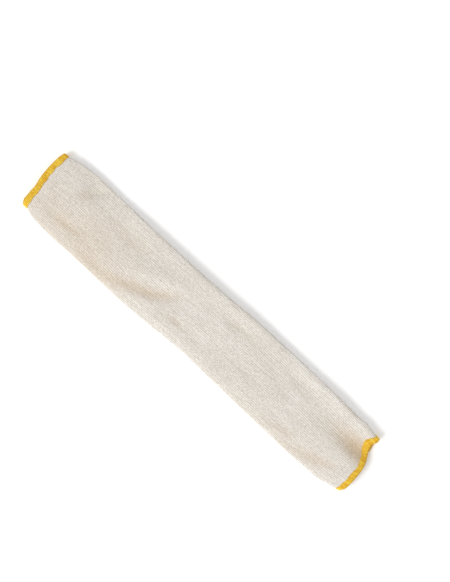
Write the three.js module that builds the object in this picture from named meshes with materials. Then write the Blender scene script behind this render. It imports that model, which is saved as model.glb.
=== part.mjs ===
// Knitted cotton arm sleeve, lying flat: one seamless tube, open at both ends,
// whose two mouths are bound by an overlocked thread edge.
// Millimetres. +X runs from the upper-arm mouth to the wrist mouth, +Y across, +Z up.
import * as THREE from "three";

// Driving dimensions
const LENGTH = 457; // over both bound edges
const WALL = 2.0; // the knit's thickness
const EDGE_WALL = 1.4; // the knit where the binding draws it tight
const BAND = 7.2; // width of a bound edge, along the sleeve
const THREAD = 0.7; // thickness of the binding's thread layer
const GAP = 0.3; // between the binding and the knit inside it
const BEVEL = 0.7; // round-over of the binding's corners

// How the tube lies
const FLOW = 46; // how far in from a mouth the knit follows that mouth's line
const SETTLE = 16; // how far in from a binding the under layer comes down to the surface
const SIDE_SHARE = 0.42; // height of the folded sides, as a share of the crest
const FOOT = 7.5; // how far the under layer curls up at each side
const CROWN_REACH = 0.78; // how far out the top layer stays flat, as a share of the half width
const CROWN_RISE = 0.94; // how steeply the top layer leaves the fold, as a share of the crest
const FOOT_RISE = 0.4; // how steeply the under layer meets the fold, as a share of the side's height

// Facets
const FACETS_ROUND = 48;
const FACETS_ALONG = 30;
const CROWDING = 0.085; // how far the rings of facets are drawn towards the two mouths
const NORMAL_STEP = 0.25; // distance along the tube over which a face's direction is found

// The tube as it lies, a row for each section: near and far are its two folded sides.
const SECTIONS = [
  { along: 0, near: -33.8, far: 33.9, crest: 12.2 },
  { along: 8, near: -34.9, far: 34.8, crest: 12.2 },
  { along: 20, near: -38.1, far: 38.0, crest: 12.3 },
  { along: 50, near: -39.9, far: 40.2, crest: 12.6 },
  { along: 84, near: -39.8, far: 38.9, crest: 12.2 },
  { along: 156, near: -41.0, far: 37.9, crest: 12.4 },
  { along: 230, near: -37.5, far: 38.2, crest: 11.8 },
  { along: 262, near: -38.3, far: 39.6, crest: 12.2 },
  { along: 324, near: -39.8, far: 39.3, crest: 12.4 },
  { along: 386, near: -41.2, far: 38.2, crest: 12.4 },
  { along: 416, near: -40.7, far: 36.4, crest: 12.2 },
  { along: 430, near: -40.2, far: 37.2, crest: 12.2 },
  { along: 444, near: -37.4, far: 35.1, crest: 12.2 },
  { along: 457, near: -34.0, far: 33.2, crest: 12.2 },
];

// How far each mouth's edge is set back from the sleeve's end, on its top and its under layer.
const UPPER_MOUTH = [
  { across: -34, top: 5.2, under: 5.2 },
  { across: -29, top: 3.3, under: 2.6 },
  { across: -20, top: 2.4, under: 2.9 },
  { across: -10, top: 2.3, under: 2.2 },
  { across: -4, top: 1.3, under: 0.7 },
  { across: 6, top: 0.3, under: 0.0 },
  { across: 20, top: 0.4, under: 0.9 },
  { across: 29, top: 1.2, under: 1.6 },
  { across: 34, top: 2.4, under: 2.4 },
];
const WRIST_MOUTH = [
  { across: -34, top: 4.2, under: 4.2 },
  { across: -29, top: 1.4, under: 4.1 },
  { across: -20, top: 0.1, under: 4.8 },
  { across: -8, top: 0.2, under: 6.0 },
  { across: 2, top: 1.6, under: 7.6 },
  { across: 10, top: 5.0, under: 8.4 },
  { across: 18, top: 10.0, under: 8.6 },
  { across: 24, top: 11.0, under: 9.6 },
  { across: 29, top: 8.6, under: 9.2 },
  { across: 33, top: 8.8, under: 8.8 },
];

// Soft dents of the top layer, each a smooth oval, and swells where the depth is negative.
const DENTS = [
  { along: 449, across: 16, length: 44, breadth: 12, turn: 0, depth: 3.2 }, // hollow behind the wrist mouth
  { along: 446, across: -12, length: 42, breadth: 17, turn: 0, depth: -1.4 }, // swell beside it
  { along: 449, across: 30, length: 15, breadth: 6, turn: 0, depth: -1.2 }, // lifted corner of the mouth
  { along: 152, across: -16, length: 42, breadth: 9, turn: 22, depth: 1.5 }, // slanting crease
  { along: 176, across: 6, length: 46, breadth: 12, turn: 14, depth: -0.9 }, // swell above the crease
  { along: 68, across: -22, length: 34, breadth: 9, turn: 4, depth: 1.0 }, // shallow dent by the upper mouth
  { along: 70, across: 20, length: 52, breadth: 10, turn: -8, depth: 0.9 },
  { along: 330, across: 2, length: 70, breadth: 12, turn: -3, depth: 0.9 },
];

// The binding's own section: a thread layer wrapped over the knit's cut edge.
// set: how far in from the edge; lift: height above the middle of the knit's wall.
const BAND_HALF = EDGE_WALL / 2 + GAP + THREAD;
const GROOVE_HALF = EDGE_WALL / 2 + GAP;
const BAND_PROFILE = [
  { set: 0, lift: BAND_HALF - BEVEL },
  { set: BEVEL, lift: BAND_HALF },
  { set: BAND - BEVEL, lift: BAND_HALF },
  { set: BAND, lift: GROOVE_HALF },
  { set: THREAD, lift: GROOVE_HALF },
  { set: THREAD, lift: -GROOVE_HALF },
  { set: BAND, lift: -GROOVE_HALF },
  { set: BAND - BEVEL, lift: -BAND_HALF },
  { set: BEVEL, lift: -BAND_HALF },
  { set: 0, lift: BEVEL - BAND_HALF },
];

const { clamp, degToRad, lerp, smoothstep } = THREE.MathUtils;

// A smooth curve through one column of a table.
function through(rows, place, column) {
  const slopeAt = (i) => {
    const before = rows[Math.max(i - 1, 0)];
    const after = rows[Math.min(i + 1, rows.length - 1)];
    return (after[column] - before[column]) / (after[place] - before[place]);
  };
  return (at) => {
    const here = clamp(at, rows[0][place], rows[rows.length - 1][place]);
    const i = Math.max(rows.findIndex((row) => row[place] >= here) - 1, 0);
    const step = rows[i + 1][place] - rows[i][place];
    const t = (here - rows[i][place]) / step;
    const level = lerp(rows[i][column], rows[i + 1][column], t * t * (3 - 2 * t));
    const lean = step * t * (1 - t) * ((1 - t) * slopeAt(i) - t * slopeAt(i + 1));
    return level + lean;
  };
}

const nearSide = through(SECTIONS, "along", "near");
const farSide = through(SECTIONS, "along", "far");
const crestHeight = through(SECTIONS, "along", "crest");
const mouthLine = (rows) => ({
  top: through(rows, "across", "top"),
  under: through(rows, "across", "under"),
});
const upperLine = mouthLine(UPPER_MOUTH);
const wristLine = mouthLine(WRIST_MOUTH);

const fromMouth = (along) => Math.min(along, LENGTH - along);

// The under layer lies on the surface, but is held up by the binding's thickness at each mouth.
const underHeight = (along) => (THREAD + GAP) * (1 - smoothstep(fromMouth(along), BAND, BAND + SETTLE));

const wallThickness = (along) => lerp(EDGE_WALL, WALL, smoothstep(fromMouth(along), BAND, BAND + SETTLE));

// Sum of the dents at a place on the top layer.
function dentDepth(along, across) {
  return DENTS.reduce((sum, dent) => {
    const turn = degToRad(dent.turn);
    const dx = along - dent.along;
    const dy = across - dent.across;
    const onLength = (dx * Math.cos(turn) + dy * Math.sin(turn)) / dent.length;
    const onBreadth = (dy * Math.cos(turn) - dx * Math.sin(turn)) / dent.breadth;
    return sum + dent.depth * Math.exp(-(onLength ** 2) - onBreadth ** 2);
  }, 0);
}

// One cross-section of the tube's outer face: flat underneath, folded at both sides, crowned on top.
function sectionPath(along) {
  const near = nearSide(along);
  const far = farSide(along);
  const middle = (near + far) / 2;
  const floor = underHeight(along);
  const crest = crestHeight(along);
  const side = lerp(floor, crest, SIDE_SHARE);
  const crownRise = lerp(side, crest, CROWN_RISE);
  const footRise = lerp(floor, side, FOOT_RISE);
  const path = new THREE.Path();
  path.moveTo(middle, floor);
  path.lineTo(far - FOOT, floor);
  path.bezierCurveTo(far - FOOT / 2, floor, far, footRise, far, side);
  path.bezierCurveTo(far, crownRise, lerp(middle, far, CROWN_REACH), crest, middle, crest);
  path.bezierCurveTo(lerp(middle, near, CROWN_REACH), crest, near, crownRise, near, side);
  path.bezierCurveTo(near, footRise, near + FOOT / 2, floor, near + FOOT, floor);
  path.lineTo(middle, floor);
  return { path, side, crest };
}

// A ring of points round the tube's outer face. The knit near a mouth follows that mouth's line.
function outerRing(along) {
  const { path, side, crest } = sectionPath(along);
  const upperPull = 1 - smoothstep(along, 0, FLOW);
  const wristPull = 1 - smoothstep(LENGTH - along, 0, FLOW);
  return path.getSpacedPoints(FACETS_ROUND).slice(0, FACETS_ROUND).map(({ x: across, y: height }) => {
    const onTop = smoothstep(height, side, crest);
    const layer = height > side ? "top" : "under";
    const shift = upperPull * upperLine[layer](across) - wristPull * wristLine[layer](across);
    return new THREE.Vector3(along + shift, across, height - onTop * dentDepth(along, across));
  });
}

// A ring with its outward normals, found from its neighbours round and along the tube.
function ringWithNormals(along) {
  const points = outerRing(along);
  const before = outerRing(along - NORMAL_STEP);
  const after = outerRing(along + NORMAL_STEP);
  const normals = points.map((_, i) => {
    const round = points[(i + 1) % FACETS_ROUND].clone().sub(points.at(i - 1));
    return round.cross(after[i].clone().sub(before[i])).normalize();
  });
  return { points, normals };
}

// A ring moved outwards by a lift.
function liftedRing({ points, normals }, lift) {
  return points.map((point, i) => point.clone().addScaledVector(normals[i], lift));
}

// A closed skin over rings that follow each other in a cycle.
function skinOver(rings) {
  const positions = rings.flat().flatMap((point) => point.toArray());
  const index = [];
  rings.forEach((ring, j) => {
    const here = j * FACETS_ROUND;
    const next = ((j + 1) % rings.length) * FACETS_ROUND;
    for (let i = 0; i < FACETS_ROUND; i++) {
      const k = (i + 1) % FACETS_ROUND;
      index.push(here + i, here + k, next + k, here + i, next + k, next + i);
    }
  });
  const geometry = new THREE.BufferGeometry();
  geometry.setAttribute("position", new THREE.Float32BufferAttribute(positions, 3));
  geometry.setIndex(index);
  geometry.computeVertexNormals();
  return geometry;
}

// Places of the tube's rings: close together inside the bindings and near the mouths, wider apart between.
function ringPlaces() {
  const atUpper = [THREAD + GAP, BAND - BEVEL, BAND];
  const atWrist = atUpper.map((place) => LENGTH - place).reverse();
  const between = [];
  for (let i = 1; i < FACETS_ALONG; i++) {
    const even = i / FACETS_ALONG;
    const crowded = even - CROWDING * Math.sin(2 * Math.PI * even);
    between.push(lerp(BAND, LENGTH - BAND, crowded));
  }
  return [...atUpper, ...between, ...atWrist];
}

// The knitted tube: an outer and an inner face that meet at the two cut edges.
function knitTube() {
  const outer = [];
  const inner = [];
  for (const along of ringPlaces()) {
    const ring = ringWithNormals(along);
    outer.push(ring.points);
    inner.push(liftedRing(ring, -wallThickness(along)));
  }
  return skinOver([...outer, ...inner.reverse()]);
}

// A bound edge: the thread layer wrapped over one mouth's cut edge.
function boundEdge(atWrist) {
  const rings = BAND_PROFILE.map(({ set, lift }) => {
    const ring = ringWithNormals(atWrist ? LENGTH - set : set);
    return liftedRing(ring, lift - EDGE_WALL / 2);
  });
  return skinOver(atWrist ? rings.reverse() : rings);
}

const cotton = new THREE.MeshStandardMaterial({ color: 0xded7cc, roughness: 0.95, metalness: 0 });
const yellowThread = new THREE.MeshStandardMaterial({ color: 0xe6b834, roughness: 0.7, metalness: 0 });

function piece(name, geometry, material) {
  const mesh = new THREE.Mesh(geometry, material);
  mesh.name = name;
  return mesh;
}

const laid = new THREE.Group();
laid.add(
  piece("knit_tube", knitTube(), cotton),
  piece("upper_edge", boundEdge(false), yellowThread),
  piece("wrist_edge", boundEdge(true), yellowThread),
);

// The sleeve's frame: the middle of its outline, on the surface that it lies on.
const box = new THREE.Box3().setFromObject(laid);
const middle = box.getCenter(new THREE.Vector3());
laid.position.set(-middle.x, -middle.y, -box.min.z);

const sleeve = new THREE.Group();
sleeve.add(laid);

export default sleeve;
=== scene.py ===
# %% [markdown]
# # A knitted cotton arm sleeve
#
# The sleeve is one seamless tube of unbleached cotton knit. Each of its two mouths is bound by a
# yellow overlocked edge, which is thread wrapped over the knit's cut edge. It lies flat on a pale
# floor, so what shows is a soft, hollow, slightly crumpled tube seen from above.
#
# The lesson goes from the large to the small: how the tube lies, the knit's stitches, the colour of
# cotton, the overlocked edges, and then the floor, the light and the camera.

import bpy
import numpy as np
from mathutils import Matrix, Vector


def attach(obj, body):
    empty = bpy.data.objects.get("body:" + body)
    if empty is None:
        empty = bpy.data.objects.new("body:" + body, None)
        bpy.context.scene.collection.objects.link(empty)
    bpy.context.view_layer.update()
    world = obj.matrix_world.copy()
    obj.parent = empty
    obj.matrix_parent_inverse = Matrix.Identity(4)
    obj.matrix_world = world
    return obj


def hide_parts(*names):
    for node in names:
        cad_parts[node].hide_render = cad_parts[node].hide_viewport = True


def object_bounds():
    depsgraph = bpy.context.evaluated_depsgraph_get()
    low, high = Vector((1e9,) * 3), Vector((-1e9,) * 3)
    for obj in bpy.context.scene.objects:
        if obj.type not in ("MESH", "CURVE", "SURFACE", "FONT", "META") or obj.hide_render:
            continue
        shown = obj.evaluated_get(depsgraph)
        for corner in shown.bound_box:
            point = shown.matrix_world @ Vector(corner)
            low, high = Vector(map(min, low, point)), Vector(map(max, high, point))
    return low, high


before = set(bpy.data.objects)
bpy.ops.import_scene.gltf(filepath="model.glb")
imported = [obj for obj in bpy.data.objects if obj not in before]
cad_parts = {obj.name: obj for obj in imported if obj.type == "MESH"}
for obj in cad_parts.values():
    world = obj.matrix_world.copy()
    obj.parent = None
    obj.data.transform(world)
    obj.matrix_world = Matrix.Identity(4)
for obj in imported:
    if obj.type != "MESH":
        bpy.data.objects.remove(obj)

CAD_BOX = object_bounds()
MM = 0.001
cad_size = [round(side / MM, 1) for side in CAD_BOX[1] - CAD_BOX[0]]
print("solids:", sorted(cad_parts), "box, mm:", cad_size)

# %% [markdown]
# ## How the tube lies
#
# A tube of cloth that lies on a table isn't a flat strip. Its under layer is flat, its sides are round
# folds, and its top layer is a low crown with soft dents and swells. One could drop a cylinder with a
# cloth simulation, but then the dents would fall anywhere. Here the lie is written down instead: a
# short table of cross-sections, one for the line of each mouth, and one for the dents, where a swell is
# a dent with a depth below zero. All are millimetres, measured along the sleeve from its upper-arm end
# and across it from its middle line, apart from three columns: a mouth's reach is a share of the edge's
# usual width, a dent's turn is in degrees, and its painted shade is a share too. Light that bounces about
# in a fold of cotton comes out warmer, so each dent also gives a painted shade: a darker, warmer tint
# laid into the colour of its wall that is turned from the light.

# %% Tables of the lie
def table(columns, *rows):
    """A short table with named columns."""
    return dict(zip(columns.split(), np.array(rows, float).T))


LENGTH = 457.0  # over both bound edges
WALL = 2.0
EDGE_WALL = 1.4  # the knit where the thread draws it tight
BAND = 7.2  # width of a bound edge, along the sleeve
BAND_LIFT = 1.0  # how far the thread stands off the knit
ACROSS_MIDDLE = -0.5  # where the middle of the frame lies across the sleeve

SECTIONS = table(
    "along near far crest",
    (0, -33.8, 33.9, 12.2),
    (8, -34.9, 34.8, 12.2),
    (20, -38.1, 38.0, 12.3),
    (50, -39.9, 40.2, 12.6),
    (84, -39.8, 38.9, 12.2),
    (156, -41.0, 37.9, 12.4),
    (230, -37.5, 38.2, 11.8),
    (262, -38.3, 39.6, 12.2),
    (324, -39.8, 39.3, 12.4),
    (386, -41.2, 38.2, 12.4),
    (416, -40.7, 36.4, 12.2),
    (430, -40.2, 37.2, 12.2),
    (444, -37.4, 35.1, 12.2),
    (457, -34.0, 33.2, 12.2),
)
UPPER_MOUTH = table(
    "across top under reach",
    (-34, 5.2, 5.2, 1.0),
    (-29, 3.6, 2.2, 1.0),
    (-20, 3.0, 2.9, 0.96),
    (-10, 2.8, 2.2, 0.94),
    (-4, 1.6, 0.4, 1.0),
    (6, 0.5, -0.2, 1.0),
    (20, 0.6, 0.9, 1.0),
    (29, 1.4, 1.6, 0.98),
    (34, 2.4, 2.4, 0.92),
)
WRIST_MOUTH = table(
    "across top under reach",
    (-34, 4.2, 4.2, 0.7),
    (-29, 1.6, 4.1, 0.92),
    (-20, 0.8, 4.8, 0.96),
    (-8, 1.1, 6.0, 0.92),
    (2, 2.2, 7.6, 0.94),
    (10, 5.3, 8.0, 1.08),
    (18, 10.0, 7.9, 1.18),
    (24, 11.0, 9.2, 1.2),
    (29, 8.8, 9.2, 1.0),
    (33, 8.8, 8.8, 0.8),
)
# The last column is painted shade: how strongly a darker, warmer tint is laid into the colour of a dent's
# shaded wall.
DENTS = table(
    "along across length breadth turn depth warm",
    (446, 12, 50, 11, 0, 4.0, 0.4),
    (450, 12.5, 32, 12, 0, 1.2, 0.7),
    (438, 23, 46, 13, 0, 2.2, 0),
    (446, -12, 42, 17, 0, -1.15, 0),
    (449, 30, 15, 6, 0, -1.0, 0),
    (408, -26, 30, 6, 16, 1.3, 0.4),
    (436, -27, 20, 8, 30, -1.0, 0),
    (392, 34, 32, 8, 0, -1.7, 0),
    (368, -24, 12, 5, 5, 0.65, 0.25),
    (340, -31, 44, 9, 0, 0.3, 0.14),
    (355, 23, 26, 7, 0, 1.2, 0.1),
    (330, 27, 66, 24, -2, 2.2, 0),
    (350, 8, 40, 24, 0, 1.5, 0),
    (288, -8, 24, 5, 0, 0.65, 0.05),
    (265, 22, 26, 7, 0, 1.3, 0.2),
    (230, 35, 40, 7, 0, -0.9, 0),
    (225, -29, 80, 8, 0, -0.9, 0),
    (208, -16, 16, 5, 8, 0.6, 0.25),
    (182, -2, 20, 6, 38, 1.15, 0.25),
    (158, -27, 30, 6, 20, -1.6, 0),
    (166, 5, 36, 10, 22, -2.2, 0),
    (150, -18.5, 32, 6, 22, 0.45, 0.5),
    (118, 17, 36, 9, 5, 1.2, 0.15),
    (102, -30, 24, 6, 0, 0.65, 0.2),
    (75, 27, 56, 14, -4, 1.5, 0.05),
    (55, -18, 20, 5, 0, 0.75, 0.3),
    (51, 22, 14, 5, 55, 2.5, 0.2),
    (58, 39, 42, 15, 0, 4.0, 0.05),
)
print(len(SECTIONS["along"]), "sections,", len(DENTS["along"]), "dents and swells")

# %% [markdown]
# ## A smooth surface from the tables
#
# Each cross-section is a closed loop of straight lines and Bezier curves, as a draughtsman would draw
# it: flat below, folded at the sides, crowned on top. A smooth curve runs through each column of the
# tables, so there is a loop for any place along the sleeve. The result is one function, `lay`: give it
# places along the sleeve and shares of the way round it, and it gives back points in space. A dent's
# painted shade is set off to its near side by a shift of its own, because the light comes from that side,
# and so the near wall of a dent is the one in shade, and that is where the shade is painted into the colour.

# %% Curves through a table
def through(rows, place, column):
    """A smooth curve through one column of a table."""
    x, y = rows[place], rows[column]
    before = np.maximum(np.arange(len(x)) - 1, 0)
    after = np.minimum(np.arange(len(x)) + 1, len(x) - 1)
    slope = (y[after] - y[before]) / (x[after] - x[before])

    def curve(at):
        at = np.clip(at, x[0], x[-1])
        i = np.clip(np.searchsorted(x, at, side="right") - 1, 0, len(x) - 2)
        step = x[i + 1] - x[i]
        t = (at - x[i]) / step
        level = y[i] + (y[i + 1] - y[i]) * t * t * (3 - 2 * t)
        return level + step * t * (1 - t) * ((1 - t) * slope[i] - t * slope[i + 1])

    return curve


def blend(a, b, share):
    return a + (b - a) * share


def smoothstep(x, low, high):
    t = np.clip((x - low) / (high - low), 0, 1)
    return t * t * (3 - 2 * t)


def from_mouth(along):
    return np.minimum(along, LENGTH - along)


middle_crest = through(SECTIONS, "along", "crest")(LENGTH / 2)
print(f"the crown in the middle: {middle_crest:.1f} mm high")

# %% One cross-section as a loop of lines and curves
SIDE_SHARE = 0.42  # height of a fold's outermost line, as a share of the crest
FOOT = 7.5  # how far in from a fold the under layer leaves the floor
FOOT_RISE = 0.4
CROWN_REACH = 0.78
FAR_CROWN_REACH = 1.12
CROWN_RISE = 0.94
SETTLE = 16.0  # how far past a bound edge the cloth has come down to the floor
LOOP_STEPS = np.linspace(0, 1, 40, endpoint=False)[:, None, None]


def under_height(along):
    """The under layer lies on the floor, but the bound edges hold it up at the two mouths."""
    return BAND_LIFT * (1 - smoothstep(from_mouth(along), BAND, BAND + SETTLE))


def bezier(a, b, c, d):
    t = LOOP_STEPS
    return a * (1 - t) ** 3 + 3 * b * t * (1 - t) ** 2 + 3 * c * t * t * (1 - t) + d * t ** 3


def section_loops(along):
    """For each place, a closed loop of (across, height), and the heights of the side and the crest."""
    near = through(SECTIONS, "along", "near")(along)
    far = through(SECTIONS, "along", "far")(along)
    crest = through(SECTIONS, "along", "crest")(along)
    floor = under_height(along)
    middle = (near + far) / 2
    side = blend(floor, crest, SIDE_SHARE)
    crown_rise = blend(side, crest, CROWN_RISE)
    foot_rise = blend(floor, side, FOOT_RISE)

    def at(across, height):
        return np.stack([across, height], axis=-1)

    def straight(a, b):
        return bezier(a, blend(a, b, 1 / 3), blend(a, b, 2 / 3), b)

    start = at(middle, floor)
    far_foot, far_side = at(far - FOOT, floor), at(far, side)
    near_side, near_foot = at(near, side), at(near + FOOT, floor)
    top = at(middle, crest)
    loops = np.concatenate([
        straight(start, far_foot),
        bezier(far_foot, at(far - FOOT / 2, floor), at(far, foot_rise), far_side),
        bezier(far_side, at(far, crest), at(blend(middle, far, FAR_CROWN_REACH), crest), top),
        bezier(top, at(blend(middle, near, CROWN_REACH), crest), at(near, crown_rise), near_side),
        bezier(near_side, at(near, foot_rise), at(near + FOOT / 2, floor), near_foot),
        straight(near_foot, start),
        start[None],
    ])
    return loops.transpose(1, 0, 2), side, crest


middle_loop = section_loops(np.array([LENGTH / 2]))[0][0]
print(f"the loop in the middle: {np.ptp(middle_loop[:, 0]):.1f} mm wide, {len(middle_loop)} points")

# %% The whole lie
FLOW = 46.0  # how far in from an end its mouth's line still bends the rows
# how far towards a dent's near, shaded side its painted shade is set, in mm
PAINTED_SHADE_SHIFT = 2.5
STEP_ALONG = 0.25  # steps to both sides of a point that tell which way it faces, in mm
STEP_ROUND = 0.0015  # and in turns
ONCE_ROUND = np.linspace(0, 1, 400)


def dents_at(along, across, column):
    """Sum of the dents at a place on the top layer, by their depth or by their painted shade."""
    total = np.zeros(np.broadcast(along, across).shape)
    for i, turn in enumerate(np.radians(DENTS["turn"])):
        dx = along - DENTS["along"][i]
        dy = across - DENTS["across"][i]
        on_length = (dx * np.cos(turn) + dy * np.sin(turn)) / DENTS["length"][i]
        on_breadth = (dy * np.cos(turn) - dx * np.sin(turn)) / DENTS["breadth"][i]
        total += DENTS[column][i] * np.exp(-on_length ** 2 - on_breadth ** 2)
    return total


def mouth_line(rows, across, on_top):
    """How far a mouth's edge lies in from the end of the sleeve."""
    top = through(rows, "across", "top")(across)
    under = through(rows, "across", "under")(across)
    return np.where(on_top, top, under)


def lay(along, share):
    """Points of the tube's outer face in millimetres: a row for each place, a column for each share."""
    along = np.asarray(along, float)
    loops, side, crest = section_loops(along)
    steps = np.linalg.norm(np.diff(loops, axis=1), axis=2)
    run = np.pad(steps, ((0, 0), (1, 0))).cumsum(axis=1)
    wanted = np.broadcast_to(np.mod(share, 1.0), (len(along), np.shape(share)[-1]))
    across = np.stack([np.interp(w * r[-1], r, loop[:, 0]) for w, r, loop in zip(wanted, run, loops)])
    height = np.stack([np.interp(w * r[-1], r, loop[:, 1]) for w, r, loop in zip(wanted, run, loops)])
    along, side, crest = along[:, None], side[:, None], crest[:, None]
    on_top = height > side
    upper_pull = 1 - smoothstep(along, 0, FLOW)
    wrist_pull = 1 - smoothstep(LENGTH - along, 0, FLOW)
    upper_shift = upper_pull * mouth_line(UPPER_MOUTH, across, on_top)
    wrist_shift = wrist_pull * mouth_line(WRIST_MOUTH, across, on_top)
    shift = upper_shift - wrist_shift
    dent = smoothstep(height, side, crest) * dents_at(along, across, "depth")
    return np.stack([along + shift - LENGTH / 2, across - ACROSS_MIDDLE, height - dent], axis=-1)


def lay_with_normals(along, share):
    """The same points, with the way each of them faces."""
    along = np.asarray(along, float)
    round_it = lay(along, share + STEP_ROUND) - lay(along, share - STEP_ROUND)
    along_it = lay(along + STEP_ALONG, share) - lay(along - STEP_ALONG, share)
    normals = np.cross(round_it, along_it)
    return lay(along, share), normals / np.linalg.norm(normals, axis=-1, keepdims=True)


girth = np.linalg.norm(np.diff(lay([LENGTH / 2], ONCE_ROUND), axis=1), axis=2).sum()
print(f"girth in the middle: {girth:.1f} mm, so {girth / 2:.1f} mm when pressed flat")

# %% [markdown]
# ## The knit
#
# In a plain knit, each stitch is a small V. The Vs stand in columns, the wales, which run along the
# sleeve, and in rows, the courses, which run round it. One could model every loop of yarn, but a sleeve
# has over twenty thousand. A bump map alone would leave a smooth tube in the mesh. Here the mesh itself
# is woven to the pattern: four columns of vertices for each wale and one row for each course, with
# the rows slanted to both sides of each wale, as the legs of a V are. A Geometry Nodes tree then only
# has to press some of the vertices in.

# %% A grid that is slanted like the stitches
WALES = 90
COURSES = 250
WALE_COLUMNS = 4
COLUMNS = WALE_COLUMNS * WALES
INNER_ROWS = 24
INNER_CROWDING = 0.1
KNIT_INSET = 2.0  # how far in from each end this mesh stops, hidden by the thread
KNIT_RUN = LENGTH - 2 * KNIT_INSET
EDGE_SQUEEZE = 0.35
SQUEEZE_FULL = BAND - 2.5
SQUEEZE_END = BAND + 0.5
LEG_SLANT = np.array([1.1, 0.6, 0.0, 0.6])  # in courses, for the four columns of a wale
LEG_PLACE = np.array([0.0, 0.28, 0.5, 0.72])  # in wales
SLANT_FADE = 5  # courses over which the slant sets in at an end
PAINTED_SHADE_FROM = 3.0  # heights between which the dents' painted shade sets in
PAINTED_SHADE_FULL = 5.5
WANDER = table("size wave turns", (0.2, 17, 3), (0.08, 9.5, -7))


def wall_thickness(along):
    return blend(EDGE_WALL, WALL, smoothstep(from_mouth(along), BAND, BAND + SETTLE))


def squeeze(along):
    """How far the edge thread presses in each face of the knit."""
    return EDGE_SQUEEZE * (1 - smoothstep(from_mouth(along), SQUEEZE_FULL, SQUEEZE_END))


def wander(along, wale):
    """Wales are never quite straight: how far each one strays, in wales."""
    turn = 2 * np.pi * wale / WALES
    return sum(size * np.sin(along / wave + turns * turn) for size, wave, turns in zip(*WANDER.values()))


def knit_grid():
    """Outer points (rows, columns), inner points, and the painted crease shade at each outer point."""
    row = np.arange(COURSES + 1)
    slant_fade = np.clip(np.minimum(row, COURSES - row) / SLANT_FADE, 0, 1)
    outer = np.zeros((COURSES + 1, COLUMNS, 3))
    painted_crease_shade = np.zeros((COURSES + 1, COLUMNS))
    for k in range(WALE_COLUMNS):
        along = KNIT_INSET + KNIT_RUN / COURSES * (row + LEG_SLANT[k] * slant_fade)
        wale = np.arange(WALES) + LEG_PLACE[k]
        share = (wale + wander(along[:, None], wale)) / WALES
        points, normals = lay_with_normals(along, share)
        points = points - normals * squeeze(along)[:, None, None]
        off_floor = smoothstep(points[..., 2], PAINTED_SHADE_FROM, PAINTED_SHADE_FULL)
        across = points[..., 1] + ACROSS_MIDDLE + PAINTED_SHADE_SHIFT
        outer[:, k::WALE_COLUMNS] = points
        # painted shade: the dents' darker, warmer tint, on the top layer only
        painted_crease_shade[:, k::WALE_COLUMNS] = off_floor * dents_at(along[:, None], across, "warm")
    share = (np.arange(COLUMNS) // WALE_COLUMNS + np.tile(LEG_PLACE, WALES)) / WALES
    even = np.linspace(0, 1, INNER_ROWS + 1)
    along = KNIT_INSET + KNIT_RUN * (even - INNER_CROWDING * np.sin(2 * np.pi * even))
    points, normals = lay_with_normals(along, share)
    inner = points - normals * (wall_thickness(along) - squeeze(along))[:, None, None]
    return outer, inner, painted_crease_shade


outer, inner, painted_crease_shade = knit_grid()
print(f"{WALES} wales of {girth / WALES:.2f} mm and {COURSES} courses of {LENGTH / COURSES:.2f} mm")

# %% [markdown]
# ## One closed mesh with two maps
#
# The outer and the inner face meet at the two cut edges, so that the wall is closed and has a real
# thickness. The mesh carries two UV maps. One counts wales and courses, for the cotton's colours. The
# other lays the two faces out side by side without overlap, for anyone who bakes the finish. Each
# vertex also notes its wale, how much painted crease shade lies there, and whether it is on the outer face.

# %% Build the tube's mesh
PAGE_EDGE = 0.01
PAGE_WIDTH = 0.47
PAGE_HEIGHT = 0.98
INNER_PAGE = 0.50
RIM_PAGES = (0.98, 0.99)
RIM_WIDTH = 0.006


def ring_faces(near_ring, far_ring):
    """Quads between two rings of vertices, given by their first vertex."""
    i = np.arange(COLUMNS)
    k = (i + 1) % COLUMNS
    return np.stack([near_ring + i, near_ring + k, far_ring + k, far_ring + i], axis=1)


def knit_mesh():
    """Strips of quads: the outer face, the inner face, and the rims that join them at the two ends."""
    outer_rings = np.arange(COURSES + 1) * COLUMNS
    inner_rings = (COURSES + 1 + np.arange(INNER_ROWS + 1)) * COLUMNS
    strips = list(zip(outer_rings[:-1], outer_rings[1:]))
    strips += zip(inner_rings[1:], inner_rings[:-1])
    strips += [(inner_rings[0], outer_rings[0]), (outer_rings[-1], inner_rings[-1])]
    faces = np.concatenate([ring_faces(a, b) for a, b in strips])
    points = np.concatenate([outer.reshape(-1, 3), inner.reshape(-1, 3)]) * MM
    mesh = bpy.data.meshes.new("sleeve_knit")
    mesh.from_pydata(points.tolist(), [], faces.tolist())
    return mesh


def strip_map(left, right, near, far):
    """The corners of a strip's quads on a map, in the order of ring_faces."""
    u = np.stack([left, right, right, left], axis=1)
    v = np.broadcast_to([near, near, far, far], u.shape)
    return np.stack([u, v], axis=2)


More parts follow.
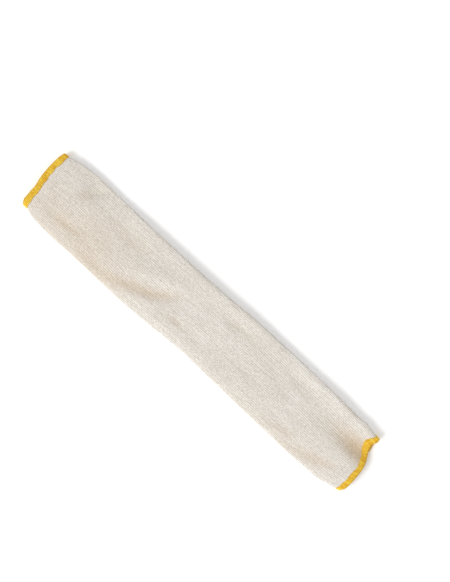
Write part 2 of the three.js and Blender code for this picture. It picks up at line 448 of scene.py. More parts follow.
def add_maps(mesh):
    """UV maps: stitches counts wales and courses, and OFBake is a flat layout without overlap."""
    column = np.arange(COLUMNS)
    wale = column // WALE_COLUMNS + np.tile(LEG_PLACE, WALES)
    next_wale = np.append(wale[1:], WALES)
    left, right = column / COLUMNS, (column + 1) / COLUMNS
    stitches, bake = [], []
    for page, rows, backward in ((PAGE_EDGE, COURSES, False), (INNER_PAGE, INNER_ROWS, True)):
        for row in range(rows):
            near, far = (row + 1, row) if backward else (row, row + 1)
            stitches.append(strip_map(wale, next_wale, near * COURSES / rows, far * COURSES / rows))
            low, high = PAGE_EDGE + PAGE_HEIGHT * near / rows, PAGE_EDGE + PAGE_HEIGHT * far / rows
            bake.append(strip_map(page + PAGE_WIDTH * left, page + PAGE_WIDTH * right, low, high))
    for page in RIM_PAGES:
        stitches.append(strip_map(wale, next_wale, 0, 1))
        low, high = PAGE_EDGE + PAGE_HEIGHT * left, PAGE_EDGE + PAGE_HEIGHT * right
        bake.append(strip_map(low, high, page, page + RIM_WIDTH)[..., ::-1])
    for name, corners in (("stitches", stitches), ("OFBake", bake)):
        layer = mesh.uv_layers.new(name=name)
        layer.data.foreach_set("uv", np.concatenate(corners).astype(np.float32).ravel())
    mesh.uv_layers["stitches"].active_render = True


def note(mesh, name, values, kind="FLOAT", field="value"):
    """A point attribute, which node trees and materials read by its name."""
    data = np.asarray(values, np.float32).ravel()
    mesh.attributes.new(name, kind, "POINT").data.foreach_set(field, data)


tube_mesh = knit_mesh()
add_maps(tube_mesh)
wale_count = np.broadcast_to(np.arange(COLUMNS) / WALE_COLUMNS, painted_crease_shade.shape)
for name, values in (("wale", wale_count), ("painted_crease_shade", painted_crease_shade), ("outside", np.ones(painted_crease_shade.shape))):
    note(tube_mesh, name, np.append(values, np.zeros(inner.shape[:2])))
print("tube:", len(tube_mesh.vertices), "vertices,", 2 * len(tube_mesh.polygons), "triangles")

# %% [markdown]
# ## Helpers for node trees
#
# Geometry trees and materials are both built from nodes, so a few small helpers serve them both: `add`
# makes a node and fills its inputs, `calc` makes one step of arithmetic, and `noise` makes a noise
# texture. `run_tree` puts a tree on an object as a modifier, and keeps the result as a plain mesh.

# %% Node helpers
def fill(tree, socket, value):
    """Sets an input to a value, or links it where the value is the output of another node."""
    if isinstance(value, bpy.types.NodeSocket):
        tree.links.new(value, socket)
    else:
        socket.default_value = value


def add(tree, kind, inputs=None, **settings):
    """A node with its settings and inputs. An input is named, or counted where names repeat."""
    node = tree.nodes.new(kind)
    for name, value in settings.items():
        setattr(node, name, value)
    for name, value in (inputs or {}).items():
        if isinstance(name, int):
            socket = node.inputs[name]
        else:
            socket = next(s for s in node.inputs if s.name == name and s.enabled)
        fill(tree, socket, value)
    return node


def result(node, name=None):
    """The node's output of that name, or its first one."""
    return next(s for s in node.outputs if s.enabled and name in (None, s.name))


def calc(tree, operation, a, b=0.0, c=0.0):
    return result(add(tree, "ShaderNodeMath", {0: a, 1: b, 2: c}, operation=operation))


def xyz(tree, **parts):
    return result(add(tree, "ShaderNodeCombineXYZ", parts))


def noise(tree, place, scale, detail, roughness=0.5):
    return result(add(tree, "ShaderNodeTexNoise", {
        "Vector": place, "Scale": scale, "Detail": detail, "Roughness": roughness,
    }))


def new_geometry_tree(name, inputs):
    """A Geometry Nodes tree with named inputs. Returns the tree and its input and output nodes."""
    tree = bpy.data.node_groups.new(name, "GeometryNodeTree")
    tree.interface.new_socket("Geometry", in_out="INPUT", socket_type="NodeSocketGeometry")
    for label, kind in inputs.items():
        tree.interface.new_socket(label, in_out="INPUT", socket_type="NodeSocket" + kind)
    tree.interface.new_socket("Geometry", in_out="OUTPUT", socket_type="NodeSocketGeometry")
    return tree, tree.nodes.new("NodeGroupInput"), tree.nodes.new("NodeGroupOutput")


def named(tree, name, kind="FLOAT"):
    """A point attribute, as a geometry tree reads it."""
    return result(add(tree, "GeometryNodeInputNamedAttribute", {"Name": name}, data_type=kind))


def end_tree(tree, made, geometry, material):
    """The last nodes of a tree: a plain mesh with smooth shading and a material."""
    smooth = add(tree, "GeometryNodeSetShadeSmooth", {0: geometry})
    plain = add(tree, "GeometryNodeRealizeInstances", {"Geometry": result(smooth)})
    dyed = add(tree, "GeometryNodeSetMaterial", {"Geometry": result(plain), "Material": material})
    tree.links.new(result(dyed), made.inputs["Geometry"])


def new_object(name, data):
    made = bpy.data.objects.new(name, data)
    bpy.context.collection.objects.link(made)
    return made


def run_tree(host, tree, values, name):
    """Runs a tree on an object, and returns its result as an object with a plain mesh of its own."""
    modifier = host.modifiers.new(tree.name, "NODES")
    modifier.node_group = tree
    for item in tree.interface.items_tree:
        if item.in_out == "INPUT" and item.name in values:
            modifier[item.identifier] = values[item.name]
    bpy.context.view_layer.update()
    evaluated = host.evaluated_get(bpy.context.evaluated_depsgraph_get())
    mesh = bpy.data.meshes.new_from_object(evaluated)
    host.modifiers.remove(modifier)
    bpy.data.objects.remove(host)
    mesh.name = name
    return new_object(name, mesh)


print("helpers ready")

# %% [markdown]
# ## Pressing in the stitches
#
# The legs of each V stay where the tube's surface is, so that the sleeve keeps its size. The gap
# between two wales is pressed in most, and the middle of a V less. A little noise on top makes no two
# stitches quite alike. What parts a stitch from the next one along its wale is finer than the mesh, and
# is left to the cotton's bump.

# %% The stitch tree
MIDDLE_PRESS = 0.44
UNEVEN_SCALE = 700.0


def stitch_tree():
    tree, given, made = new_geometry_tree("knit_stitches", {
        "Wale depth": "Float", "Unevenness": "Float", "Seed": "Float", "Cotton": "Material",
    })
    wale = named(tree, "wale")
    once = calc(tree, "COSINE", calc(tree, "MULTIPLY", wale, 2 * np.pi))
    twice = calc(tree, "COSINE", calc(tree, "MULTIPLY", wale, 4 * np.pi))
    off_leg = calc(tree, "MULTIPLY_ADD", twice, 0.5, 0.5)
    in_gap = calc(tree, "MULTIPLY_ADD", once, (1 - MIDDLE_PRESS) / 2, (1 + MIDDLE_PRESS) / 2)
    hollow = calc(tree, "MULTIPLY", off_leg, in_gap)
    wale_press = calc(tree, "MULTIPLY", hollow, given.outputs["Wale depth"])
    uneven = result(add(tree, "ShaderNodeTexNoise", {
        "Vector": result(add(tree, "GeometryNodeInputPosition")), "W": given.outputs["Seed"],
        "Scale": UNEVEN_SCALE, "Detail": 1.0,
    }, noise_dimensions="4D"))
    press = calc(tree, "MULTIPLY_ADD", uneven, given.outputs["Unevenness"], wale_press)
    outer_press = calc(tree, "MULTIPLY", press, named(tree, "outside"))
    inward = result(add(tree, "ShaderNodeVectorMath", {
        0: result(add(tree, "GeometryNodeInputNormal")), "Scale": calc(tree, "MULTIPLY", outer_press, -1.0),
    }, operation="SCALE"))
    pressed = add(tree, "GeometryNodeSetPosition", {"Geometry": given.outputs["Geometry"], "Offset": inward})
    end_tree(tree, made, result(pressed), given.outputs["Cotton"])
    return tree


knit_stitches = stitch_tree()
print("stitch tree:", len(knit_stitches.nodes), "nodes")

# %% [markdown]
# ## The colour of unbleached cotton
#
# Unbleached cotton is never one flat white. Larger areas are warmer or cooler, each strand of yarn has
# a shade of its own that changes along it, and here and there a speck of seed shows. Each of these is a
# texture of its own, and those of the yarn are laid on the stitch map, so that they follow the knit. Two
# more marks are painted shade: the hollows between the stitches are painted darker, and the dents' shaded
# walls get a painted darker, warmer tint. A bump map adds what is too fine for the mesh: the round
# legs of each V, the parting of each stitch from the next, and the fuzz. The surface is dull with a
# faint bloom from loose fibres, which is what the sheen is for.

# %% Helpers for materials
NOISE_RANGE = (0.3, 0.7)
WHITE = (1, 1, 1, 1)


def mix(tree, share, a, b, blend_type="MIX"):
    """A colour between two others, or the product of the two."""
    return result(add(tree, "ShaderNodeMix", {"Factor": share, "A": a, "B": b},
                      data_type="RGBA", blend_type=blend_type))


def weigh(tree, *parts):
    """The sum of some values, each times its share."""
    total = 0.0
    for value, share in parts:
        total = calc(tree, "MULTIPLY_ADD", value, share, total)
    return total


def spread(tree, value, low, high):
    """Stretches a range of values to 0 and 1."""
    return result(add(tree, "ShaderNodeMapRange", {"Value": value, "From Min": low, "From Max": high}))


def noted(tree, name, output="Fac"):
    """A point attribute, as a material reads it."""
    return result(add(tree, "ShaderNodeAttribute", attribute_name=name), output)


def with_painted_crease_shade(tree, colour, tint):
    """The colour, with painted shade: tinted darker and warmer where a dent's shaded wall lies."""
    return mix(tree, noted(tree, "painted_crease_shade"), colour, mix(tree, 1.0, colour, tint, "MULTIPLY"))


def new_material(name, finish):
    """A material with plain values on its shader. Returns the material, its tree and its shader."""
    material = bpy.data.materials.new(name)
    material.use_nodes = True
    shader = material.node_tree.nodes["Principled BSDF"]
    for label, value in finish.items():
        shader.inputs[label].default_value = value
    return material, material.node_tree, shader


print("helpers for materials ready")

# %% The height of a stitch
V_HEIGHT = 0.75
STITCH_ROUNDING = 0.5
STITCH_PARTING = 0.65


def stitch_height(tree, wale, course):
    """How high the yarn stands: each wale has two legs, and each leg is parted from the next."""
    off_centre = calc(tree, "ABSOLUTE", calc(tree, "SUBTRACT", calc(tree, "FRACT", wale), 0.5))
    over_leg = calc(tree, "SINE", calc(tree, "MULTIPLY", off_centre, 2 * np.pi))
    in_middle = calc(tree, "COSINE", calc(tree, "MULTIPLY", off_centre, np.pi))
    over_wale = calc(tree, "MAXIMUM", over_leg, calc(tree, "MULTIPLY", in_middle, V_HEIGHT))
    over_wale = calc(tree, "MAXIMUM", over_wale, 0.0)
    over_stitch = calc(tree, "SINE", calc(tree, "MULTIPLY", calc(tree, "FRACT", course), np.pi))
    over_stitch = calc(tree, "POWER", calc(tree, "MAXIMUM", over_stitch, 0.0), STITCH_ROUNDING)
    parting = calc(tree, "MULTIPLY_ADD", over_stitch, STITCH_PARTING, 1 - STITCH_PARTING)
    return calc(tree, "MULTIPLY", over_wale, parting)


print(f"each stitch sinks to {1 - STITCH_PARTING:.2f} of its height where it meets the next")

# %% Cotton
COTTON_COOL = (0.88, 0.865, 0.838, 1)
COTTON_WARM = (0.82, 0.735, 0.63, 1)
# painted shade: the darker, warmer tint laid on a dent's shaded wall
COTTON_PAINTED_CREASE_SHADE = (0.90, 0.77, 0.60, 1)
# painted shade: the colour that the hollows between the stitches are darkened towards
COTTON_PAINTED_HOLLOW_SHADE = (0.42, 0.38, 0.32, 1)
COTTON_FLECK = (0.50, 0.43, 0.35, 1)
COTTON_FINISH = {
    "Roughness": 0.95, "Specular IOR Level": 0.15, "Sheen Weight": 0.1, "Sheen Roughness": 0.6,
}
PATCH_SCALE = 18.0
PATCH_WARMTH = 0.15
STREAK_WARMTH = 0.25
WARM_PLACE = (-0.155, -0.022, 0.012)
WARM_SIZE = (0.095, 0.034, 0.05)
WARM_FADE = (1.5, 0.3)
AREA_WARMTH = 0.45
YARN_DARK = (0.711, 0.658, 0.588, 1)
YARN_LIGHT = (1.535, 1.571, 1.624, 1)
YARN_ROUGHNESS = 0.6
STREAK_RATE = (0.8, 0.05)
STRAND_RATE = (7.31, 1.1)
LINE_RATE = (3.17, 0.05)
STRAND_SHARE = 0.54
LINE_SHARE = 0.28
LEG_SHARE = 0.16
LEGS = 2
STRANDS = 4
FLECK_SCALE = 520.0
FLECK_RANGE = (0.77, 0.82)
FLECK_SHARE = 0.7
FUZZ_SCALE = 2600.0
FUZZ_SHARE = 0.35
COTTON_BUMP = 0.6
COTTON_RELIEF = 0.4 * MM


def stitch_noise(tree, across, course, rate):
    """Noise on the stitch map. The rates are how fast it changes across the wales and along a wale."""
    place = xyz(tree, X=calc(tree, "MULTIPLY", across, rate[0]), Y=calc(tree, "MULTIPLY", course, rate[1]))
    return spread(tree, noise(tree, place, 1.0, detail=2.0, roughness=YARN_ROUGHNESS), *NOISE_RANGE)


def warm_area(tree, place):
    """One wide area of the sleeve that is warmer than the rest: 1 in its middle, 0 outside it."""
    off = result(add(tree, "ShaderNodeVectorMath", {0: place, 1: WARM_PLACE}, operation="SUBTRACT"))
    off = result(add(tree, "ShaderNodeVectorMath", {0: off, 1: WARM_SIZE}, operation="DIVIDE"))
    away = result(add(tree, "ShaderNodeVectorMath", {0: off}, operation="LENGTH"), "Value")
    return spread(tree, away, *WARM_FADE)


def yarn_shade(tree, wale, course):
    """How light the yarn is: by strand, by long lines in it, and by the single leg."""
    leg = calc(tree, "FLOOR", calc(tree, "MULTIPLY", wale, LEGS))
    strand = calc(tree, "FLOOR", calc(tree, "MULTIPLY", wale, STRANDS))
    one_leg = xyz(tree, X=leg, Y=calc(tree, "FLOOR", course))
    leg_tone = result(add(tree, "ShaderNodeTexWhiteNoise", {"Vector": one_leg}, noise_dimensions="2D"))
    return weigh(tree, (stitch_noise(tree, strand, course, STRAND_RATE), STRAND_SHARE),
                 (stitch_noise(tree, strand, course, LINE_RATE), LINE_SHARE), (leg_tone, LEG_SHARE))


def cotton_material():
    material, tree, shader = new_material("unbleached_cotton_knit", COTTON_FINISH)
    counts = add(tree, "ShaderNodeSeparateXYZ", {0: result(add(tree, "ShaderNodeUVMap", uv_map="stitches"))})
    wale, course = counts.outputs["X"], counts.outputs["Y"]
    place = add(tree, "ShaderNodeTexCoord").outputs["Object"]
    patch = spread(tree, noise(tree, place, PATCH_SCALE, detail=2.0), *NOISE_RANGE)
    streak = stitch_noise(tree, wale, course, STREAK_RATE)
    area = warm_area(tree, place)
    warmth = weigh(tree, (patch, PATCH_WARMTH), (streak, STREAK_WARMTH), (area, AREA_WARMTH))
    colour = with_painted_crease_shade(tree, mix(tree, warmth, COTTON_COOL, COTTON_WARM), COTTON_PAINTED_CREASE_SHADE)
    yarn = mix(tree, yarn_shade(tree, wale, course), YARN_DARK, YARN_LIGHT)
    colour = mix(tree, 1.0, colour, yarn, "MULTIPLY")
    height = stitch_height(tree, wale, course)
    # painted shade: darker where the stitch is low, in the hollows between the stitches
    colour = mix(tree, 1.0, colour, mix(tree, height, COTTON_PAINTED_HOLLOW_SHADE, WHITE), "MULTIPLY")
    fleck = spread(tree, noise(tree, place, FLECK_SCALE, detail=1.0), *FLECK_RANGE)
    colour = mix(tree, calc(tree, "MULTIPLY", fleck, FLECK_SHARE), colour, COTTON_FLECK)
    tree.links.new(colour, shader.inputs["Base Color"])
    fuzz = noise(tree, place, FUZZ_SCALE, detail=2.0)
    relief = calc(tree, "MULTIPLY_ADD", fuzz, FUZZ_SHARE, height)
    bump = add(tree, "ShaderNodeBump", {
        "Height": relief, "Strength": COTTON_BUMP, "Distance": COTTON_RELIEF,
    })
    tree.links.new(result(bump), shader.inputs["Normal"])
    return material


cotton = cotton_material()
sleeve_knit = run_tree(new_object("tube_host", tube_mesh), knit_stitches, {
    "Wale depth": 0.36 * MM, "Unevenness": 0.15 * MM, "Seed": 4.0, "Cotton": cotton,
}, "sleeve_knit")
print("knit:", len(sleeve_knit.data.polygons), "faces, material", sleeve_knit.data.materials[0].name)

# %% [markdown]
# ## The overlocked edges
#
# An overlock machine wraps two looper threads round the cut edge and pins them with a needle thread.
# What shows is a dense band of short threads across the edge, with a line of small needle stitches
# along its inner side. A painted band would look flat from the side, so each wrap is a real loop of
# thread. The wraps are all alike, which makes them a task for Geometry Nodes: one loop, and a copy of
# it on each of a row of seats round the mouth. Under the wraps lies a thin web of the same thread,
# so that no white shows between two of them where they spread over the folded sides.

# %% Seats for the wraps, and the web under them
BAND_REACH = 7.7
THREAD_PITCH = 1.42
THREAD_RADIUS = 0.6
WRAP_HALF = EDGE_WALL / 2 + BAND_LIFT - THREAD_RADIUS
WEB_PROFILE = table(
    "set lift",
    (0.8, 0.3), (1.4, 0.7), (6.2, 0.75), (6.6, 0.5), (1.7, 0.42),
    (1.7, -0.42), (6.6, -0.5), (6.2, -0.75), (1.4, -0.7), (0.8, -0.3),
)


def mouth_reach(rows, across, on_top):
    """How far the band reaches in from the edge, against its usual width."""
    return np.where(on_top, through(rows, "across", "reach")(across), 1.0)


def mouth_rings(at_wrist, sets, share):
    """Points and normals of the wall's middle, a row for each distance in from the edge."""
    along = LENGTH - np.asarray(sets) if at_wrist else np.asarray(sets)
    points, normals = lay_with_normals(along, share)
    return points - normals * EDGE_WALL / 2, normals


def wrap_seats(at_wrist, rows):
    """A mesh of loose points on the edge line, with the directions and the reach of the wrap at each."""
    outline, _ = mouth_rings(at_wrist, [0.0], ONCE_ROUND)
    run = np.linalg.norm(np.diff(outline[0], axis=0), axis=1).cumsum()
    count = int(round(run[-1] / THREAD_PITCH))
    share = np.interp(np.arange(count) / count * run[-1], np.append(0, run), ONCE_ROUND)
    (edge, inside), (normals, _) = mouth_rings(at_wrist, [0.0, BAND / 2], share)
    outward = edge - inside
    outward /= np.linalg.norm(outward, axis=1, keepdims=True)
    across = edge[:, 1] + ACROSS_MIDDLE
    on_top = normals[:, 2] > 0
    mesh = bpy.data.meshes.new("wrap_seats")
    mesh.from_pydata((edge * MM).tolist(), [], [])
    note(mesh, "outward", outward, "FLOAT_VECTOR", "vector")
    note(mesh, "face", normals, "FLOAT_VECTOR", "vector")
    note(mesh, "reach", mouth_reach(rows, across, on_top))
    # painted shade: the thread is tinted where a dent's shaded wall reaches the mouth
    note(mesh, "painted_crease_shade", on_top * dents_at(LENGTH if at_wrist else 0.0, across + PAINTED_SHADE_SHIFT, "warm"))
    return mesh, share


def web_mesh(at_wrist, rows, share):
    """The web under the wraps: a closed ring that folds over the knit's edge."""
    rings = []
    for inset, lift in zip(WEB_PROFILE["set"], WEB_PROFILE["lift"]):
        (points, edge), (normals, _) = mouth_rings(at_wrist, [inset, 0.0], share)
        if inset > BAND / 2:
            reach = mouth_reach(rows, points[:, 1] + ACROSS_MIDDLE, normals[:, 2] > 0)
            points = edge + (points - edge) * reach[:, None]
        rings.append(points + normals * lift)
    if at_wrist:
        rings.reverse()
    count, size = len(rings), len(share)
    faces = []
    for j in range(count):
        for i in range(size):
            k, n = (i + 1) % size, (j + 1) % count
            faces.append((j * size + i, j * size + k, n * size + k, n * size + i))
    mesh = bpy.data.meshes.new("thread_web")
    mesh.from_pydata((np.concatenate(rings) * MM).tolist(), [], faces)
    return mesh


print(f"thread {2 * THREAD_RADIUS:.2f} mm thick, a wrap every {THREAD_PITCH} mm")

# %% [markdown]
# ## One wrap and its needle stitch
#
# The wrap's path is a rectangle with round ends, long enough to go over the edge and back. It leans a
# little, because the thread also moves on to the next stitch. A circle swept along the path gives the
# thread its thickness. It has only five sides, because a wrap is about a millimetre thick and there are
# two hundred of them. The needle stitch is a short straight piece of thinner thread across the wrap's
# inner end. Both are written as parts of one tree.

# %% Parts of the overlock tree
THREAD_SIDES = 5
BEND_STEPS = 2
BEND_SHARE = 0.96
NEEDLE_RADIUS = 0.6
NEEDLE_HALF = 0.46
NEEDLE_SET = -0.84
NEEDLE_LIFT = 1.18


def store(tree, geometry, name, value, kind="FLOAT", domain="POINT"):
    """The geometry, with a value noted on it under a name."""
    return result(add(tree, "GeometryNodeStoreNamedAttribute", {
        "Geometry": geometry, "Name": name, "Value": value,
    }, data_type=kind, domain=domain))


def thread_round(tree, radius):
    return result(add(tree, "GeometryNodeCurvePrimitiveCircle", {
        "Resolution": THREAD_SIDES, "Radius": radius,
    }))


def wrap_path(tree, given):
    """The line that a wrap's thread follows, with its nearness to the wrap's ends, for painted shade, and
    its run noted on it.
    """
    band, half = given.outputs["Band width"], given.outputs["Wrap half"]
    width = calc(tree, "SUBTRACT", band, calc(tree, "MULTIPLY", given.outputs["Thread radius"], 2.0))
    outline = add(tree, "GeometryNodeCurvePrimitiveQuadrilateral", {
        "Width": width, "Height": calc(tree, "MULTIPLY", half, 2.0),
    })
    rounded = add(tree, "GeometryNodeFilletCurve", {
        "Curve": result(outline), "Count": BEND_STEPS, "Radius": calc(tree, "MULTIPLY", half, BEND_SHARE),
    }, mode="POLY")
    middle = calc(tree, "MULTIPLY", band, -0.5)
    stood = add(tree, "GeometryNodeTransform", {
        "Geometry": result(rounded), "Rotation": (np.pi / 2, 0, 0), "Translation": xyz(tree, X=middle),
    })
    spot = add(tree, "ShaderNodeSeparateXYZ", {0: result(add(tree, "GeometryNodeInputPosition"))})
    off_middle = calc(tree, "DIVIDE", calc(tree, "SUBTRACT", spot.outputs["X"], middle), width)
    side = calc(tree, "SIGN", spot.outputs["Z"])
    lean = calc(tree, "MULTIPLY", calc(tree, "MULTIPLY", off_middle, side), given.outputs["Lean"])
    to_rim = calc(tree, "POWER", calc(tree, "MULTIPLY", calc(tree, "ABSOLUTE", off_middle), 2.0), 2.0)
    lower = calc(tree, "MULTIPLY", calc(tree, "MULTIPLY", spot.outputs["Z"], to_rim), given.outputs["Crown"])
    crowned = xyz(tree, Y=lean, Z=calc(tree, "MULTIPLY", lower, -1.0))
    # painted shade: how near a point is to a wrap's end, where the material darkens the thread
    path = store(tree, result(stood), "rim", to_rim)
    path = store(tree, path, "ply_run", spot.outputs["X"])
    return result(add(tree, "GeometryNodeSetPosition", {"Geometry": path, "Offset": crowned}))


def wrap_thread(tree, given):
    """A wrap: the thread's round, with the way round it noted, swept along the path."""
    way_round = result(add(tree, "ShaderNodeVectorMath", {
        0: result(add(tree, "GeometryNodeInputPosition")),
    }, operation="NORMALIZE"))
    profile = thread_round(tree, given.outputs["Thread radius"])
    profile = store(tree, profile, "ply_round", way_round, "FLOAT_VECTOR")
    return result(add(tree, "GeometryNodeCurveToMesh", {
        "Curve": wrap_path(tree, given), "Profile Curve": profile,
    }))


def needle_stitch(tree, given):
    """A short straight thread over the wrap's inner end."""
    half = calc(tree, "MULTIPLY", given.outputs["Pitch"], NEEDLE_HALF)
    line = add(tree, "GeometryNodeCurvePrimitiveLine", {
        "Start": xyz(tree, Y=calc(tree, "MULTIPLY", half, -1.0)), "End": xyz(tree, Y=half),
    })
    profile = thread_round(tree, calc(tree, "MULTIPLY", given.outputs["Thread radius"], NEEDLE_RADIUS))
    needle = add(tree, "GeometryNodeCurveToMesh", {
        "Curve": result(line), "Profile Curve": profile, "Fill Caps": True,
    })
    seat = xyz(tree, X=calc(tree, "MULTIPLY", given.outputs["Band width"], NEEDLE_SET),
               Z=calc(tree, "MULTIPLY", given.outputs["Wrap half"], NEEDLE_LIFT))
    return result(add(tree, "GeometryNodeTransform", {"Geometry": result(needle), "Translation": seat}))


print(f"a wrap is {BAND_REACH} mm long, and its needle stitch {2 * NEEDLE_HALF * THREAD_PITCH:.2f} mm")

# %% [markdown]
# ## One stitch, many seats
#
# Each copy is turned so that its own axes follow the mouth, and is made a little longer or shorter than
# its neighbours. A random number that goes along with each copy lets the material vary the thread's
# shade. The web comes in from an object of its own and is joined to the copies.

# %% The overlock tree
WAVE_SCALE = 160.0
WAVE_SIZE = 10.0


def joined(tree, *parts):
    node = add(tree, "GeometryNodeJoinGeometry")
    for part in parts:
        tree.links.new(part, node.inputs[0])
    return result(node)


def overlock_tree():
    tree, given, made = new_geometry_tree("overlock_wraps", {
        "Band width": "Float", "Wrap half": "Float", "Thread radius": "Float", "Lean": "Float",
        "Crown": "Float", "Unevenness": "Float", "Pitch": "Float", "Seed": "Int", "Web": "Object",
        "Thread": "Material",
    })
    stitch = joined(tree, wrap_thread(tree, given), needle_stitch(tree, given))
    face, outward = named(tree, "face", "FLOAT_VECTOR"), named(tree, "outward", "FLOAT_VECTOR")
    turned = add(tree, "FunctionNodeAxesToRotation", {0: face, 1: outward},
                 primary_axis="Z", secondary_axis="X")
    chance = result(add(tree, "FunctionNodeRandomValue", {
        "Min": -1.0, "Max": 1.0, "Seed": given.outputs["Seed"],
    }, data_type="FLOAT"))
    place = result(add(tree, "GeometryNodeInputPosition"))
    wave = noise(tree, place, WAVE_SCALE, detail=0.0)
    wavy = calc(tree, "MULTIPLY_ADD", wave, WAVE_SIZE, -WAVE_SIZE / 2)
    uneven = calc(tree, "MULTIPLY", calc(tree, "ADD", chance, wavy), given.outputs["Unevenness"])
    long = calc(tree, "MULTIPLY", named(tree, "reach"), calc(tree, "ADD", uneven, 1.0))
    copies = add(tree, "GeometryNodeInstanceOnPoints", {
        "Points": given.outputs["Geometry"], "Instance": stitch, "Rotation": result(turned),
        "Scale": xyz(tree, X=long, Y=1.0, Z=1.0),
    })
    tone = calc(tree, "MULTIPLY_ADD", chance, 0.5, 0.5)
    toned = store(tree, result(copies), "tone", tone, domain="INSTANCE")
    web = add(tree, "GeometryNodeObjectInfo", {"Object": given.outputs["Web"]})
    end_tree(tree, made, joined(tree, toned, result(web, "Geometry")), given.outputs["Thread"])
    return tree


overlock_wraps = overlock_tree()
print("overlock tree:", len(overlock_wraps.nodes), "nodes")

# %% [markdown]
# ## Yellow thread
#
# The thread is a bulky dyed yarn with a slight gloss. Its shade changes from wrap to wrap and in small
# clouds along each. Painted shade makes it darker and nearer to orange at a wrap's two ends, where it
# turns over the edge or dives into the knit, and darker and a little warmer in the shaded fold at the
# wrist. Its twist is a bump: the tree has noted how far along the thread each point is and which way
# round it, and together these give a fine spiral.

# %% Thread
THREAD_LIGHT = (1.0, 0.80, 0.092, 1)
THREAD_DEEP = (0.77, 0.40, 0.006, 1)
# painted shade: the darker, oranger thread at a wrap's two ends
THREAD_PAINTED_RIM_SHADE = (0.66, 0.36, 0.02, 1)
# painted shade: the thread's darker, warmer tint in the shade of a dent
THREAD_PAINTED_CREASE_SHADE = (0.98, 0.92, 0.88, 1)
THREAD_FINISH = {"Roughness": 0.55, "Specular IOR Level": 0.35, "Sheen Weight": 0.05}
TONE_SHARE = 0.45
CLOUD_SHARE = 0.55
CLOUD_SCALE = 420.0
PAINTED_RIM_SHADE_RANGE = (0.45, 1.0)
PAINTED_RIM_SHADE_SHARE = 0.8
PLY_LENGTH = 1.3 * MM
PLY_SHARE = 0.5
FIBRE_SCALE = 3000.0
THREAD_BUMP = 0.5
THREAD_RELIEF = 0.2 * MM


def thread_material():
    material, tree, shader = new_material("yellow_overlock_thread", THREAD_FINISH)
    place = add(tree, "ShaderNodeTexCoord").outputs["Object"]
    cloud = spread(tree, noise(tree, place, CLOUD_SCALE, detail=1.0), *NOISE_RANGE)
    light = weigh(tree, (noted(tree, "tone"), TONE_SHARE), (cloud, CLOUD_SHARE))
    colour = mix(tree, light, THREAD_DEEP, THREAD_LIGHT)
    # painted shade: darker and oranger towards a wrap's ends
    rim = spread(tree, noted(tree, "rim"), *PAINTED_RIM_SHADE_RANGE)
    colour = mix(tree, calc(tree, "MULTIPLY", rim, PAINTED_RIM_SHADE_SHARE), colour, THREAD_PAINTED_RIM_SHADE)
    # painted shade: the dents' tint laid on the thread
    tree.links.new(with_painted_crease_shade(tree, colour, THREAD_PAINTED_CREASE_SHADE), shader.inputs["Base Color"])
    angle = calc(tree, "MULTIPLY", noted(tree, "ply_run"), 2 * np.pi / PLY_LENGTH)
    way = add(tree, "ShaderNodeSeparateXYZ", {0: noted(tree, "ply_round", "Vector")})
    ply = calc(tree, "ADD", calc(tree, "MULTIPLY", calc(tree, "SINE", angle), way.outputs["X"]),
               calc(tree, "MULTIPLY", calc(tree, "COSINE", angle), way.outputs["Y"]))
    fibres = noise(tree, place, FIBRE_SCALE, detail=2.0)
    relief = calc(tree, "MULTIPLY_ADD", ply, PLY_SHARE, fibres)
    bump = add(tree, "ShaderNodeBump", {
        "Height": relief, "Strength": THREAD_BUMP, "Distance": THREAD_RELIEF,
    })
    tree.links.new(result(bump), shader.inputs["Normal"])
    return material


thread = thread_material()
print("material", thread.name)

# %% The two edges
WRAP_LEAN = 0.8
WRAP_CROWN = 0.3
WRAP_UNEVENNESS = 0.04


def overlocked_edge(name, at_wrist, rows, seed):
    seats, share = wrap_seats(at_wrist, rows)
    web = new_object("web_host", web_mesh(at_wrist, rows, share))
    edge = run_tree(new_object("seat_host", seats), overlock_wraps, {
        "Band width": BAND_REACH * MM, "Wrap half": WRAP_HALF * MM, "Thread radius": THREAD_RADIUS * MM,
        "Lean": WRAP_LEAN * MM, "Crown": WRAP_CROWN, "Unevenness": WRAP_UNEVENNESS,
        "Pitch": THREAD_PITCH * MM, "Seed": seed, "Web": web, "Thread": thread,
    }, name)
    bpy.data.objects.remove(web)
    print(name, ":", len(share), "wraps,", len(edge.data.polygons), "faces")
    return edge


upper_overlock = overlocked_edge("upper_overlock", False, UPPER_MOUTH, seed=3)
wrist_overlock = overlocked_edge("wrist_overlock", True, WRIST_MOUTH, seed=8)

# %% [markdown]
# ## Tying the pieces to the solids
#
# Each piece stands for one of the solids and moves with it, and that solid is hidden. The knit's solid
# stops a millimetre short of each end of the sleeve, where the thread goes round it.

for piece, node, slot in (
    (sleeve_knit, "knit_tube", "cotton_knit"),
    (upper_overlock, "upper_edge", "edge_thread"),
    (wrist_overlock, "wrist_edge", "edge_thread"),
):
    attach(piece, "root")
    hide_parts(node)
print("declared", [piece.name for piece in (sleeve_knit, upper_overlock, wrist_overlock)])

# %% [markdown]
# ## Floor and light
#
# The sleeve lies on a plain white floor. A wide, soft light comes from one long side of the sleeve, so
# that the fold on that side is bright and the other one is shaded, and the dents show. The rest of
# the light comes evenly from all round, as in a white studio tent.

# %% Floor, world and key light
FLOOR_SIZE = 30.0
FLOOR_COLOUR = (0.95, 0.95, 0.95, 1)
FLOOR_FINISH = {
    "Base Color": FLOOR_COLOUR, "Roughness": 0.9, "Specular IOR Level": 0.1,
    "Emission Color": FLOOR_COLOUR, "Emission Strength": 0.12,
}
WORLD_STRENGTH = 0.685
KEY_FROM = (-0.3, -0.95, 1.0)
KEY_SPREAD = 30.0
KEY_STRENGTH = 1.76


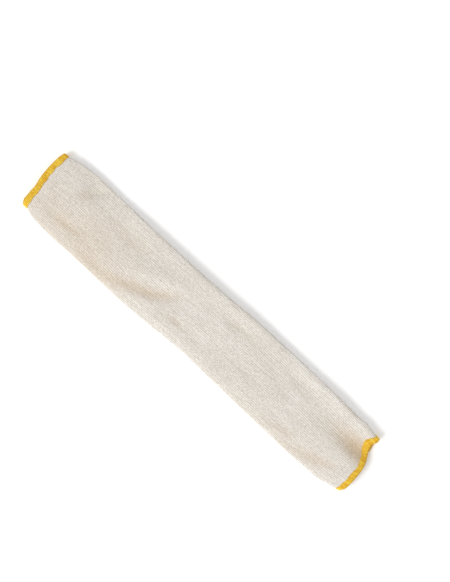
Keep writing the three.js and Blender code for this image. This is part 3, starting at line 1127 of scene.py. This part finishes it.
def make_floor():
    half = FLOOR_SIZE / 2
    corners = [(-half, -half, 0), (half, -half, 0), (half, half, 0), (-half, half, 0)]
    mesh = bpy.data.meshes.new("floor")
    mesh.from_pydata(corners, [], [(0, 1, 2, 3)])
    floor = new_object("floor", mesh)
    material, _, _ = new_material("pale_floor", FLOOR_FINISH)
    mesh.materials.append(material)


def make_light():
    world = bpy.data.worlds.new("white_tent")
    world.use_nodes = True
    background = world.node_tree.nodes["Background"]
    background.inputs["Color"].default_value = WHITE
    background.inputs["Strength"].default_value = WORLD_STRENGTH
    bpy.context.scene.world = world
    lamp = bpy.data.lights.new("key", "SUN")
    lamp.energy = KEY_STRENGTH
    lamp.angle = np.radians(KEY_SPREAD)
    key = new_object("key", lamp)
    key.location = KEY_FROM
    key.rotation_euler = (-Vector(KEY_FROM)).to_track_quat("-Z", "Y").to_euler()


make_floor()
make_light()
print("key light from", KEY_FROM)

# %% [markdown]
# ## The camera
#
# The photograph looks straight down, and the sleeve runs from its upper left to its lower right. The
# two ends' places in the photograph give the camera's turn and its distance: it is as far away as
# makes the sleeve as long in the picture as it is there. A long lens keeps the two ends alike.

# %% Camera
PHOTO_SIZE = (450, 582)
PHOTO_UPPER_END = Vector((44.0, 179.0))
PHOTO_WRIST_END = Vector((359.0, 464.0))
MM_PER_PIXEL = 1.0467
UPPER_END_ALONG = 4.67
VIEW_LEVEL = 6.0
LENS = 110.0
SENSOR = 36.0


def make_camera():
    run = (PHOTO_WRIST_END - PHOTO_UPPER_END).normalized()
    right = Vector((run.x, run.y, 0))
    up = Vector((-run.y, run.x, 0))
    off = (Vector(PHOTO_SIZE) / 2 - PHOTO_UPPER_END) * MM_PER_PIXEL
    centre = Vector((UPPER_END_ALONG - LENGTH / 2, -ACROSS_MIDDLE, 0)) + off.x * right - off.y * up
    distance = VIEW_LEVEL + LENS / SENSOR * max(PHOTO_SIZE) * MM_PER_PIXEL
    data = bpy.data.cameras.new("photo_view")
    data.lens = LENS
    data.sensor_width = SENSOR
    camera = new_object("photo_view", data)
    place = Vector((centre.x, centre.y, distance)) * MM
    camera.matrix_world = Matrix((
        (right.x, up.x, 0, place.x),
        (right.y, up.y, 0, place.y),
        (0, 0, 1, place.z),
        (0, 0, 0, 1),
    ))
    bpy.context.scene.camera = camera
    return camera


camera = make_camera()
bpy.context.scene.view_settings.view_transform = "Standard"
print("camera", [round(x, 3) for x in camera.matrix_world.translation], "m")
